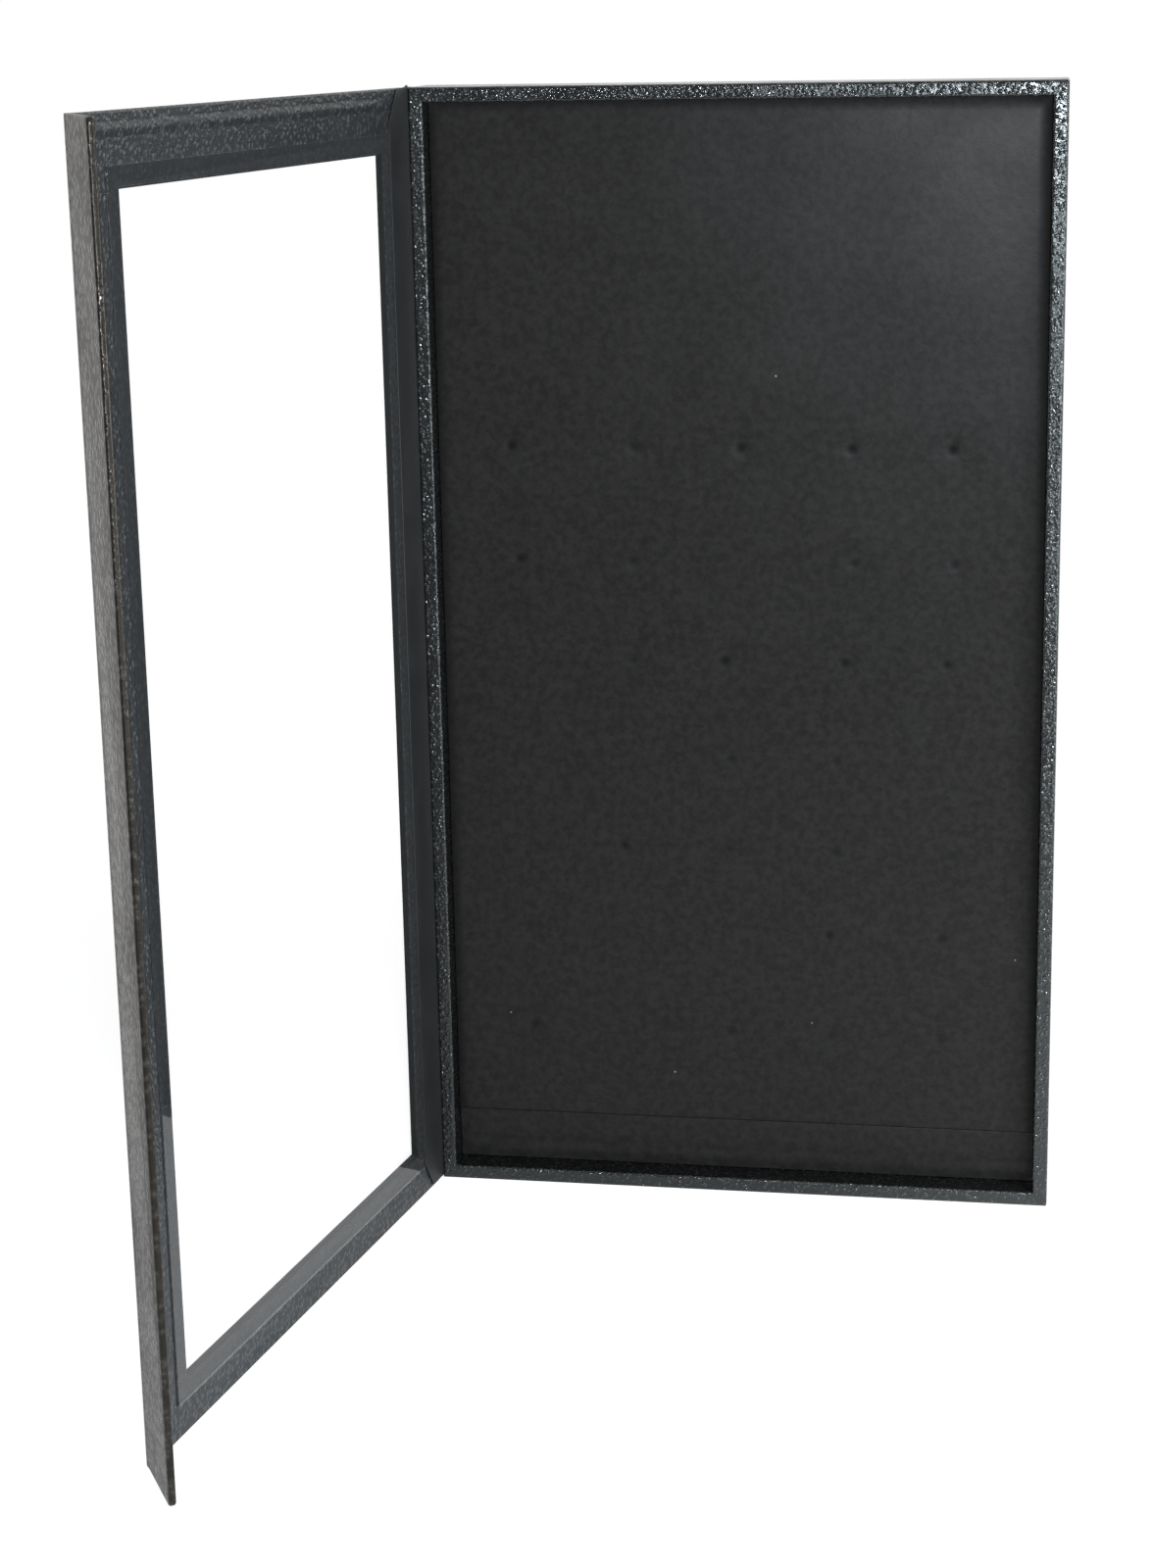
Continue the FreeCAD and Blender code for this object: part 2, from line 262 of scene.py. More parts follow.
# Foam nap
NAP_SCALE = 420.0
NAP_ROUGHNESS = 0.65
NAP_TWIST = 0.3
NAP_DARK_SHARE = 0.75
NAP_LIGHT_SHARE = 1.25
NAP_WARMTH = 0.05
PATCH_SCALE = 45.0
NAP_SHINY = 0.31
NAP_DULL = 0.37
PORE_SCALE = 1500.0
PORE_DETAIL = 2.0
PORE_SHARE = 0.3
NAP_RELIEF = 0.035 * MM
NAP_GLOSS = 0.11
# Painted shade in the pin dents and along the pad's rolled edges: how far in it is full, and the share of the
# foam's tone it darkens to
PAINTED_SHADE_FULLY = 0.85
PAINTED_SHADE_SHARE = 0.25
PRESSED_DULLER = 0.5

# Binding cloth
WEAVE_SCALE = 620.0
WEAVE_WOBBLE = 0.6
WEAVE_RELIEF = 0.03 * MM
CLOTH_SLOW_SCALE = 60.0
CLOTH_DARK_SHARE = 0.7
CLOTH_LIGHT_SHARE = 1.4
CLOTH_SHINY = 0.42
CLOTH_DULL = 0.55

# Clear sheet
SHEET_IOR = 1.72
HAZE_SCALE = 30.0
HAZE_HIGH = 0.8
SHEET_CLEAR = 0.015
SHEET_HAZY = 0.05

# Board and card
FIBRE_LENGTH = 1.5 * MM
FIBRE_DETAIL = 5.0
FIBRE_TWIST = 1.4
THREADS_PER_FIBRE = 4.0
FIBRE_RELIEF = 0.05 * MM
BOARD_TONE = 0.3
BOARD_WARMTH = 0.08
CARD_TONE = 0.02
PAPER_DARK_SHARE = 0.75
PAPER_LIGHT_SHARE = 1.2
PAPER_SHINY = 0.8
PAPER_DULL = 0.92

# Metal
STREAK_SCALE = (200, 200, 4000)
STREAK_DARK_SHARE = 0.85
STREAK_DULLER = 0.12
STREAK_RELIEF = 0.01 * MM
STEEL_TONE = 0.55
STEEL_DULL = 0.3
MAGNET_TONE = 0.62
MAGNET_DULL = 0.18


# Shader helpers

def place(tree, kind, feeds=None, **settings):
    """Adds a node, sets its properties and feeds its inputs with values or with other nodes' outputs."""
    node = tree.nodes.new(kind)
    for name, value in settings.items():
        setattr(node, name, value)
    for name, value in (feeds or {}).items():
        if isinstance(value, bpy.types.NodeSocket):
            tree.links.new(value, node.inputs[name])
        else:
            node.inputs[name].default_value = value
    return node


def reckon(tree, operation, *values, clamp=False):
    """A Math node's output."""
    feeds = dict(enumerate(values))
    return place(tree, "ShaderNodeMath", feeds, operation=operation, use_clamp=clamp).outputs[0]


def ramp(tree, value, low, high, start=0.0, end=1.0):
    """A value carried smoothly from one range to another."""
    feeds = {"Value": value, "From Min": low, "From Max": high, "To Min": start, "To Max": end}
    return place(tree, "ShaderNodeMapRange", feeds, interpolation_type="SMOOTHSTEP").outputs[0]


def noise(tree, spot, scale, detail, **more):
    """A noise texture's outputs, with more of its inputs by name."""
    feeds = {"Vector": spot, "Scale": scale, "Detail": detail, **more}
    return place(tree, "ShaderNodeTexNoise", feeds).outputs


def blend_colours(tree, share, first, second):
    """A colour between two colours."""
    node = tree.nodes.new("ShaderNodeMix")
    node.data_type = "RGBA"
    for number, value in zip(MIX_SOCKETS, (share, first, second)):
        socket = node.inputs[number]
        if isinstance(value, bpy.types.NodeSocket):
            tree.links.new(value, socket)
        else:
            socket.default_value = value
    return node.outputs[MIX_RESULT]


def grey(level, warmth=0.0):
    """A near-neutral colour, a little warm or cool."""
    return (level * (1 + warmth), level, level * (1 - warmth), 1)


def new_group(name, inputs, outputs):
    """An empty shader group with float or vector inputs and float outputs."""
    tree = bpy.data.node_groups.new(name, "ShaderNodeTree")
    for socket, kind in inputs.items():
        tree.interface.new_socket(socket, in_out="INPUT", socket_type=kind)
    for socket in outputs:
        tree.interface.new_socket(socket, in_out="OUTPUT", socket_type="NodeSocketFloat")
    return tree, tree.nodes.new("NodeGroupInput").outputs, tree.nodes.new("NodeGroupOutput").inputs


def use_group(tree, group, **values):
    """Places a group in a material with its own values."""
    node = tree.nodes.new("ShaderNodeGroup")
    node.node_tree = group
    for name, value in values.items():
        node.inputs[name].default_value = value
    return node.outputs


def new_material(name):
    """A material with its Principled shader."""
    material = bpy.data.materials.new(name)
    material.use_nodes = True
    return material, material.node_tree, material.node_tree.nodes["Principled BSDF"]


def raise_surface(tree, shader, height, relief):
    """Feeds a height through a Bump node into a shader's normal."""
    bump = place(tree, "ShaderNodeBump", {"Height": height, "Distance": relief})
    tree.links.new(bump.outputs[0], shader.inputs["Normal"])


# Shared surface effects

def pebble_grain_group():
    """Pressed leather grain: rounded pebbles of uneven size between creases."""
    inputs = {"Cell": "NodeSocketFloat", "Shift": "NodeSocketVector"}
    tree, given, result = new_group("pebble grain", inputs, ("Height", "Crease", "Mottle"))
    spot = place(tree, "ShaderNodeTexCoord").outputs["Object"]
    moved = place(tree, "ShaderNodeVectorMath", {0: spot, 1: given["Shift"]}, operation="ADD").outputs[0]
    finer = reckon(tree, "DIVIDE", 1.0, given["Cell"])
    sized = place(tree, "ShaderNodeVectorMath", {0: moved, "Scale": finer}, operation="SCALE").outputs[0]
    drift = noise(tree, sized, DRIFT_SCALE, DRIFT_DETAIL)["Color"]
    bent = place(tree, "ShaderNodeVectorMath", {0: drift, 1: DRIFT_REACH, 2: sized},
                 operation="MULTIPLY_ADD").outputs[0]
    pebbles = place(tree, "ShaderNodeTexVoronoi", {"Vector": bent, "Scale": 1.0, "Smoothness": PEBBLE_BLUR},
                    feature="SMOOTH_F1").outputs["Distance"]
    beads = place(tree, "ShaderNodeTexVoronoi",
                  {"Vector": bent, "Scale": BEADS_PER_PEBBLE, "Smoothness": BEAD_BLUR},
                  feature="SMOOTH_F1").outputs["Distance"]
    grit = noise(tree, sized, GRIT_PER_PEBBLE, SOFT_DETAIL)[0]
    crowns = ramp(tree, pebbles, PEBBLE_RIM, PEBBLE_TOP)
    small = ramp(tree, beads, BEAD_RIM, BEAD_TOP)
    height = reckon(tree, "MULTIPLY_ADD", small, BEAD_SHARE, crowns)
    tree.links.new(reckon(tree, "MULTIPLY_ADD", grit, GRIT_SHARE, height), result["Height"])
    tree.links.new(ramp(tree, pebbles, CREASE_FROM, CREASE_TO), result["Crease"])
    tree.links.new(noise(tree, sized, MOTTLE_SCALE, SOFT_DETAIL)[0], result["Mottle"])
    return tree


def lint_group():
    """Sparse pale specks of dust and fibre."""
    inputs = dict.fromkeys(("Spacing", "Speck", "Share"), "NodeSocketFloat")
    tree, given, result = new_group("lint", inputs, ("Mask",))
    spot = place(tree, "ShaderNodeTexCoord").outputs["Object"]
    wander = place(tree, "ShaderNodeTexNoise", {"Vector": spot, "Scale": LINT_WANDER_SCALE}).outputs["Color"]
    bent = place(tree, "ShaderNodeVectorMath", {0: wander, 1: LINT_WANDER, 2: spot},
                 operation="MULTIPLY_ADD").outputs[0]
    cells = place(tree, "ShaderNodeTexVoronoi",
                  {"Vector": bent, "Scale": reckon(tree, "DIVIDE", 1.0, given["Spacing"])})
    near = reckon(tree, "LESS_THAN", cells.outputs["Distance"], given["Speck"])
    draw = place(tree, "ShaderNodeSeparateColor", {"Color": cells.outputs["Color"]}).outputs[0]
    chosen = reckon(tree, "LESS_THAN", draw, given["Share"])
    tree.links.new(reckon(tree, "MULTIPLY", near, chosen), result["Mask"])
    return tree


def fibre_group():
    """Pressed paper fibres, for board and card."""
    tree, given, result = new_group("paper fibre", {"Length": "NodeSocketFloat"}, ("Height", "Tone"))
    spot = place(tree, "ShaderNodeTexCoord").outputs["Object"]
    scale = reckon(tree, "DIVIDE", 1.0, given["Length"])
    clumps = noise(tree, spot, scale, FIBRE_DETAIL, Distortion=FIBRE_TWIST)[0]
    threads = noise(tree, spot, reckon(tree, "MULTIPLY", scale, THREADS_PER_FIBRE), FINE_DETAIL)[0]
    tree.links.new(threads, result["Height"])
    tree.links.new(clumps, result["Tone"])
    return tree


def window_edge_group():
    """One on the turned-in edges of the door's window, zero on the rest of the door."""
    tree, given, result = new_group("window edge", {}, ("Mask",))
    spot = place(tree, "ShaderNodeTexCoord").outputs["Object"]
    away = place(tree, "ShaderNodeVectorMath", {0: spot, 1: WINDOW_MIDDLE}, operation="SUBTRACT").outputs[0]
    dot = place(tree, "ShaderNodeVectorMath", {0: away, 1: DOOR_WAY}, operation="DOT_PRODUCT")
    along = dot.outputs["Value"]
    up = place(tree, "ShaderNodeSeparateXYZ", {"Vector": away}).outputs["Z"]
    reach = [half + WINDOW_EDGE_REACH for half in WINDOW_HALF]
    sides = reckon(tree, "LESS_THAN", reckon(tree, "ABSOLUTE", along), reach[0])
    ends = reckon(tree, "LESS_THAN", reckon(tree, "ABSOLUTE", up), reach[1])
    tree.links.new(reckon(tree, "MULTIPLY", sides, ends), result["Mask"])
    return tree


PEBBLE_GRAIN = pebble_grain_group()
WINDOW_EDGE = window_edge_group()
LINT = lint_group()
PAPER_FIBRE = fibre_group()


# Finishes

def leatherette(name, shift, cell=1.25 * MM, relief=0.18 * MM, tone=0.0175, dull=0.1, gloss=0.74,
                crown_highlight=3.0, crease_shade=0.25, warmth=0.0, tint=(0.93, 1, 1, 1), window=False):
    """Black leatherette with a pressed pebble grain, shinier on the crowns, with painted highlights on the
    crowns and painted shade in the creases.
    """
    material, tree, shader = new_material(name)
    grain = use_group(tree, PEBBLE_GRAIN, Cell=cell, Shift=shift)
    dust = use_group(tree, LINT, **LEATHER_DUST)
    # Painted highlight: the crowns are lighter in colour. Painted shade: the creases are darker
    crown_highlight_share = ramp(tree, grain["Height"], CROWN_HIGHLIGHT_FROM, CROWN_HIGHLIGHT_TO)
    crown_highlighted = blend_colours(tree, crown_highlight_share, grey(tone * PEBBLE_SIDE_SHARE, warmth), grey(tone * crown_highlight, warmth))
    cover = blend_colours(tree, grain["Crease"], crown_highlighted, grey(tone * crease_shade, warmth))
    dusty = blend_colours(tree, dust["Mask"], cover, grey(DUST_TONE, LEATHER_DUST_WARMTH))
    matt = ramp(tree, grain["Mottle"], NOISE_LOW, NOISE_HIGH, dull - MOTTLE_SHINIER, dull + MOTTLE_DULLER)
    rough = reckon(tree, "MULTIPLY_ADD", grain["Crease"], CREASE_DULLER, matt)
    height = grain["Height"]
    if window:
        edge = use_group(tree, WINDOW_EDGE)["Mask"]
        dusty = blend_colours(tree, edge, dusty, grey(WINDOW_EDGE_TONE))
        rough = reckon(tree, "MAXIMUM", edge, rough)
        height = reckon(tree, "MULTIPLY", height, reckon(tree, "SUBTRACT", 1.0, edge))
    tree.links.new(dusty, shader.inputs["Base Color"])
    tree.links.new(rough, shader.inputs["Roughness"])
    raise_surface(tree, shader, height, relief)
    shader.inputs["Specular Tint"].default_value = tint
    shader.inputs["Specular IOR Level"].default_value = gloss
    return material


def foam_nap(name, tone=0.02):
    """Black foam with a short nap: soft mottling, fine pores, a little lint, and painted shade in the pin
    dents and along the rolled edges.
    """
    material, tree, shader = new_material(name)
    spot = place(tree, "ShaderNodeTexCoord").outputs["Object"]
    clouds = noise(tree, spot, NAP_SCALE, FINE_DETAIL, Roughness=NAP_ROUGHNESS, Distortion=NAP_TWIST)[0]
    patches = noise(tree, spot, PATCH_SCALE, SOFT_DETAIL)[0]
    pores = noise(tree, spot, PORE_SCALE, PORE_DETAIL)[0]
    lint = use_group(tree, LINT, **FOAM_LINT)
    nap = blend_colours(tree, ramp(tree, clouds, NOISE_LOW, NOISE_HIGH),
                        grey(tone * NAP_DARK_SHARE, NAP_WARMTH), grey(tone * NAP_LIGHT_SHARE, NAP_WARMTH))
    # Painted shade: the foam's colour darkens in the pin dents and along the rolled edges; the same share
    # also dulls it
    press_and_shade = place(tree, "ShaderNodeAttribute", attribute_name="press_and_shade").outputs["Fac"]
    shaded_nap = blend_colours(tree, ramp(tree, press_and_shade, 0.0, PAINTED_SHADE_FULLY), nap, grey(tone * PAINTED_SHADE_SHARE))
    linted = blend_colours(tree, lint["Mask"], shaded_nap, grey(LINT_TONE, DUST_WARMTH))
    tree.links.new(linted, shader.inputs["Base Color"])
    patchy = ramp(tree, patches, NOISE_LOW, NOISE_HIGH, NAP_SHINY, NAP_DULL)
    tree.links.new(reckon(tree, "MULTIPLY_ADD", press_and_shade, PRESSED_DULLER, patchy), shader.inputs["Roughness"])
    raise_surface(tree, shader, reckon(tree, "MULTIPLY_ADD", pores, PORE_SHARE, clouds), NAP_RELIEF)
    shader.inputs["Specular IOR Level"].default_value = NAP_GLOSS
    return material


def binding_cloth(name, tone=0.017):
    """Smooth dark binding cloth with a fine even weave."""
    material, tree, shader = new_material(name)
    spot = place(tree, "ShaderNodeTexCoord").outputs["Object"]
    thread = {"Vector": spot, "Scale": WEAVE_SCALE, "Distortion": WEAVE_WOBBLE}
    across = place(tree, "ShaderNodeTexWave", thread, bands_direction="Y").outputs[1]
    along = place(tree, "ShaderNodeTexWave", thread, bands_direction="Z").outputs[1]
    weave = reckon(tree, "MULTIPLY", across, along)
    slow = noise(tree, spot, CLOTH_SLOW_SCALE, FINE_DETAIL)[0]
    dust = use_group(tree, LINT, **CLOTH_DUST)
    cloth = blend_colours(tree, slow, grey(tone * CLOTH_DARK_SHARE), grey(tone * CLOTH_LIGHT_SHARE))
    dusty = blend_colours(tree, dust["Mask"], cloth, grey(DUST_TONE, DUST_WARMTH))
    tree.links.new(dusty, shader.inputs["Base Color"])
    rough = ramp(tree, slow, NOISE_LOW, NOISE_HIGH, CLOTH_SHINY, CLOTH_DULL)
    tree.links.new(rough, shader.inputs["Roughness"])
    raise_surface(tree, shader, weave, WEAVE_RELIEF)
    return material


def clear_sheet(name):
    """Clear plastic: what is behind shows through, and the face towards the eye adds its gloss."""
    material, tree, shader = new_material(name)
    shader.inputs["Base Color"].default_value = grey(0.0)
    shader.inputs["IOR"].default_value = SHEET_IOR
    spot = place(tree, "ShaderNodeTexCoord").outputs["Object"]
    haze = noise(tree, spot, HAZE_SCALE, FINE_DETAIL)[0]
    rough = ramp(tree, haze, NOISE_LOW, HAZE_HIGH, SHEET_CLEAR, SHEET_HAZY)
    tree.links.new(rough, shader.inputs["Roughness"])
    through = place(tree, "ShaderNodeBsdfTransparent").outputs[0]
    both = place(tree, "ShaderNodeAddShader", {0: through, 1: shader.outputs[0]}).outputs[0]
    behind = place(tree, "ShaderNodeNewGeometry").outputs["Backfacing"]
    sheet = place(tree, "ShaderNodeMixShader", {0: behind, 1: both, 2: through}).outputs[0]
    tree.links.new(sheet, tree.nodes["Material Output"].inputs["Surface"])
    return material


def paper_board(name, tone, warmth=0.0):
    """Grey board or black card with pressed fibres."""
    material, tree, shader = new_material(name)
    paper = use_group(tree, PAPER_FIBRE, Length=FIBRE_LENGTH)
    pulp = blend_colours(tree, paper["Tone"], grey(tone * PAPER_DARK_SHARE, warmth),
                         grey(tone * PAPER_LIGHT_SHARE, warmth))
    tree.links.new(pulp, shader.inputs["Base Color"])
    dull = ramp(tree, paper["Tone"], NOISE_LOW, NOISE_HIGH, PAPER_SHINY, PAPER_DULL)
    tree.links.new(dull, shader.inputs["Roughness"])
    raise_surface(tree, shader, paper["Height"], FIBRE_RELIEF)
    return material


def bare_metal(name, tone, dull):
    """Plain plate or plating with fine brushed streaks."""
    material, tree, shader = new_material(name)
    spot = place(tree, "ShaderNodeTexCoord").outputs["Object"]
    drawn = place(tree, "ShaderNodeMapping", {"Vector": spot, "Scale": STREAK_SCALE}).outputs[0]
    streaks = noise(tree, drawn, 1.0, SOFT_DETAIL)[0]
    brushed = blend_colours(tree, streaks, grey(tone * STREAK_DARK_SHARE), grey(tone))
    tree.links.new(brushed, shader.inputs["Base Color"])
    rough = ramp(tree, streaks, NOISE_LOW, NOISE_HIGH, dull, dull + STREAK_DULLER)
    tree.links.new(rough, shader.inputs["Roughness"])
    shader.inputs["Metallic"].default_value = 1.0
    raise_surface(tree, shader, streaks, STREAK_RELIEF)
    return material


# Pieces

def shown(name, mesh, finish):
    """A new piece from a finished mesh, smooth shaded below an angle in degrees."""
    mesh.validate()
    mesh.polygons.foreach_set("use_smooth", [True] * len(mesh.polygons))
    mesh.set_sharp_from_angle(angle=math.radians(SMOOTH_BELOW))
    piece = bpy.data.objects.new(name, mesh)
    piece.data.materials.append(finish)
    bpy.context.scene.collection.objects.link(piece)
    return piece


def padded_block(name, box, sink, finish, step=PAD_STEP, press_and_shade=None):
    """A closed block whose front, the -Y side, sinks by a depth worked out at each point."""
    low, high = box
    columns = max(2, round((high.x - low.x) / step)) + 1
    rows = max(2, round((high.z - low.z) / step)) + 1
    across, up = np.meshgrid(np.linspace(low.x, high.x, columns), np.linspace(low.z, high.z, rows))
    front = np.stack((across, low.y + sink(across, up), up), axis=-1).reshape(-1, 3)
    spots = np.arange(columns * rows).reshape(rows, columns)
    quads = np.stack((spots[:-1, :-1], spots[:-1, 1:], spots[1:, 1:], spots[1:, :-1]), axis=-1)
    quads = quads.reshape(-1, 4)
    rim = np.concatenate((spots[0, :-1], spots[:-1, -1], spots[-1, :0:-1], spots[:0:-1, 0]))
    behind = front[rim].copy()
    behind[:, 1] = high.y
    first = len(front)
    ring = first + np.arange(len(rim))
    sides = np.stack((rim, ring, np.roll(ring, -1), np.roll(rim, -1)), axis=-1)
    corners = np.concatenate((front, behind))
    mesh = bpy.data.meshes.new(name)
    faces = quads.tolist() + sides.tolist() + [ring[::-1].tolist()]
    mesh.from_pydata(corners.tolist(), [], faces)
    # The optional function gives each point how much the foam is dulled and darkened with painted shade
    if press_and_shade:
        shade = mesh.attributes.new("press_and_shade", "FLOAT", "POINT")
        shade.data.foreach_set("value", press_and_shade(corners[:, 0], corners[:, 2]))
    return shown(name, mesh, finish)


def rolled(distance, radius):
    """How much of a rounded edge is left at a distance from it, from 1 at the edge to 0."""
    return np.clip(1 - distance / radius, 0, 1)


def edge_fall(first, second, depth):
    """How far a soft edge, or the corner between two, falls back, more and more steeply."""
    return depth * np.minimum(np.hypot(first, second), 1) ** 2


def slow_waves(across, up):
    """A faint unevenness of the foam."""
    return sum(np.sin(a * across + b * up + c) for a, b, c in FOAM_WAVES) / len(FOAM_WAVES)


def dents(across, up, radius):
    """About one where each pin was stuck, less towards the floor, falling to zero round it."""
    total = 0 * across
    lowest, highest = min(PIN_DENTS), max(PIN_DENTS)
    for height, spots in PIN_DENTS.items():
        deep = DENT_FAINTEST + (1 - DENT_FAINTEST) * (height - lowest) / (highest - lowest)
        for spot in spots:
            strength = deep * (1 + DENT_UNEVEN * math.sin(spot / MM + height / MM))
            away = np.hypot(across - tray_left - spot, up - height)
            total = total + strength * np.exp(-((away / radius) ** 2))
    return total


def pad_sink(box):
    """The foam pad's front: rolled edges, pin dents and slow waves."""
    low, high = box

    def sink(across, up):
        hinge_side = rolled(across - low.x, PAD_ROLL_HINGE_SIDE)
        sides = np.maximum(hinge_side, rolled(high.x - across, PAD_ROLL))
        depth = edge_fall(sides, rolled(high.z - up, PAD_ROLL), PAD_ROLL_DEPTH)
        depth = np.maximum(depth, edge_fall(rolled(up - low.z, PAD_SEAM_ROLL), 0, PAD_SEAM_DEPTH))
        depth = depth + DENT_DEPTH * dents(across, up, DENT_RADIUS)
        depth = depth + DIMPLE_DEPTH * dents(across, up, DIMPLE_RADIUS)
        return depth + PAD_WAVE * (1 + slow_waves(across, up))

    return sink


def pad_press_and_shade(box):
    """How much the nap is dulled and darkened with painted shade: in the pin dents, where it is pressed flat,
    and towards the rolled edges.
    """
    low, high = box

    def press(across, up):
        inside = np.min((across - low.x, high.x - across, high.z - up), axis=0)
        shade = DENT_SHADE * dents(across, up, DENT_SHADE_RADIUS)
        return np.maximum(shade, EDGE_SHADE * rolled(inside, PAD_ROLL))

    return press


def strip_sink(box):
    """The filler strip's front: it leans back towards the floor, with a soft crease along it."""
    low, high = box

    def sink(across, up):
        hinge_side = rolled(across - low.x, PAD_ROLL_HINGE_SIDE)
        sides = np.maximum(hinge_side, rolled(high.x - across, PAD_ROLL))
        depth = edge_fall(sides, rolled(up - low.z, PAD_ROLL), PAD_ROLL_DEPTH)
        depth = np.maximum(depth, edge_fall(rolled(high.z - up, PAD_SEAM_ROLL), 0, PAD_SEAM_DEPTH))
        depth = depth + STRIP_LEAN * (high.z - up) / (high.z - low.z)
        crease = (up - STRIP_CREASE_HEIGHT) / STRIP_CREASE_WIDTH
        depth = depth + STRIP_CREASE_DEPTH * np.exp(-(crease ** 2))
        return depth + PAD_WAVE * (1 + slow_waves(across, up))

    return sink


def liner_edge(finish):
    """The edge of the door's liner, showing as a soft ridge along the door's top rail."""
    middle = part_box("door_liner")[1].z
    low = Vector((CLOTH_WIDTH, -RIDGE_HEIGHT, middle - RIDGE_HALF_WIDTH))
    high = Vector((LINER_END, RIDGE_ROOT, middle + RIDGE_HALF_WIDTH))

    def sink(along, up):
        across = 1 - np.clip(np.abs(up - middle) / RIDGE_HALF_WIDTH, 0, 1) ** 2
        taper = np.clip(np.minimum(along - low.x, high.x - along) / RIDGE_TAPER, 0, 1)
        swell = 1 - RIDGE_WAVE * (1 + slow_waves(along * RIDGE_WAVE_STRETCH, up)) / 2
        return RIDGE_HEIGHT * (1 - across ** 2 * taper * swell)

    piece = padded_block("liner_edge", (low, high), sink, finish, RIDGE_STEP)
    inner = UP.cross(DOOR_WAY)
    way = Matrix((DOOR_WAY, -inner, UP)).transposed().to_4x4()
    piece.data.transform(Matrix.Translation(hinge_point) @ way)
    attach(piece, "door")
    return piece


def slab(outline, half, edge, kept=()):
    """A flat slab with a rounded rim: the outline in the local X and Z, its thickness along Y."""
    shape = bmesh.new()
    corners = [shape.verts.new((x, -half, z)) for x, z in outline]
    face = shape.faces.new(corners)
    lifted = bmesh.ops.extrude_face_region(shape, geom=[face])["geom"]
    raised = [v for v in lifted if isinstance(v, bmesh.types.BMVert)]
    bmesh.ops.translate(shape, verts=raised, vec=(0, 2 * half, 0))
    bmesh.ops.recalc_face_normals(shape, faces=shape.faces)
    rims = []
    for line in shape.edges:
        ends = [v.co for v in line.verts]
        flat = abs(ends[0].y - ends[1].y) < half
        if flat and not any(all(abs(end.x - x) < edge / 2 for end in ends) for x in kept):
            rims.append(line)
    bmesh.ops.bevel(shape, geom=rims, offset=edge, segments=EDGE_SEGMENTS, profile=EDGE_ROUND, affect="EDGES",
                    clamp_overlap=True)
    return shape


def cut_across(shape, stations):
    """Cuts a slab at places along its local X, so that it can bend."""
    for x in stations:
        everything = list(shape.verts) + list(shape.edges) + list(shape.faces)
        bmesh.ops.bisect_plane(shape, geom=everything, plane_co=(x, 0, 0), plane_no=(1, 0, 0))


def bent(shape, name, point, flat_way, turn, reach):
    """Bends a slab about an upright line by a turn in degrees, over a reach to each side, and places it."""
    out = Vector(flat_way)
    inner = UP.cross(out)
    for v in shape.verts:
        share = min(max((v.co.x + reach) / (2 * reach), 0), 1)
        share = share * share * (3 - 2 * share)
        spin = Matrix.Rotation(math.radians(turn) * share, 3, "Z")
        v.co = point + spin @ (out * v.co.x + inner * v.co.y) + UP * v.co.z
    mesh = bpy.data.meshes.new(name)
    shape.to_mesh(mesh)
    shape.free()
    return mesh


def turned(way, degrees):
    """A level direction turned about the upright axis."""
    return Matrix.Rotation(math.radians(degrees), 3, "Z") @ Vector(way)


def rounded_end(x, z, radius):
    """Points round the upper corner of an outline at the end of a slab."""
    points = []
    for step in np.linspace(0, SQUARE, CORNER_POINTS):
        angle = math.radians(step)
        points.append((x - radius + radius * math.sin(angle), z - radius * (1 - math.cos(angle))))
    return points


def hinge_cloth(finish):
    """One strip of binding cloth from the tray's hinge side onto the inside of the door."""
    low = CLOTH_LOW_MARGIN
    high = case_height - CLOTH_TOP_MARGIN
    shoulder = CLOTH_WIDTH - CLOTH_CLIP.x
    outline = [
        (-CLOTH_WIDTH, low), (shoulder, low), (CLOTH_WIDTH, low + CLOTH_CLIP.y),
        (CLOTH_WIDTH, high - CLOTH_CLIP.y), (shoulder, high), (-CLOTH_WIDTH, high),
    ]
    shape = slab(outline, CLOTH_THICKNESS / 2, CLOTH_EDGE)
    cut_across(shape, np.linspace(-CLOTH_BEND, CLOTH_BEND, BEND_CUTS))
    for v in shape.verts:
        rise = min(max(v.co.x / CLOTH_WIDTH, -1), 1)
        v.co.y += CLOTH_PROUD / 2 * max(rise, 0) - CLOTH_THICKNESS / 4 * max(-rise, 0)
        v.co.z += CLOTH_PEAK * math.exp(-((v.co.x / CLOTH_PEAK_WIDTH) ** 2)) * (v.co.z > case_height / 2)
    mesh = bent(shape, "hinge_cloth", hinge_point, (0, -1, 0), SQUARE - DOOR_OPEN, CLOTH_BEND)
    piece = shown("hinge_cloth", mesh, finish)
    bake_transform(piece)
    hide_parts("hinge_strip_tray", "hinge_strip_door")
    return piece


def flap_cover(finish):
    """The flap's leatherette, carried on over the fold onto the door's free edge."""
    top = rounded_end(COVER_REACH, case_height, COVER_CORNER)
    outline = [(-COVER_LAP, 0)]
    outline += [(x, case_height - z) for x, z in top]
    outline += list(reversed(top))
    outline.append((-COVER_LAP, case_height))
    shape = slab(outline, COVER_HALF + COVER_SKIN, COVER_EDGE, kept=(-COVER_LAP,))
    cut_across(shape, np.linspace(-COVER_BEND, COVER_BEND, BEND_CUTS))
    door_way = turned((1, 0, 0), -DOOR_OPEN)
    mesh = bent(shape, "flap_cover", fold_point, door_way, FLAP_FOLD, COVER_BEND)
    piece = shown("flap_cover", mesh, finish)
    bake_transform(piece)
    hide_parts("flap_wrap")
    return piece


def dress(finish, *names):
    """Gives CAD nodes a finish."""
    for name in names:
        nodes[name].data.materials.clear()
        nodes[name].data.materials.append(finish)


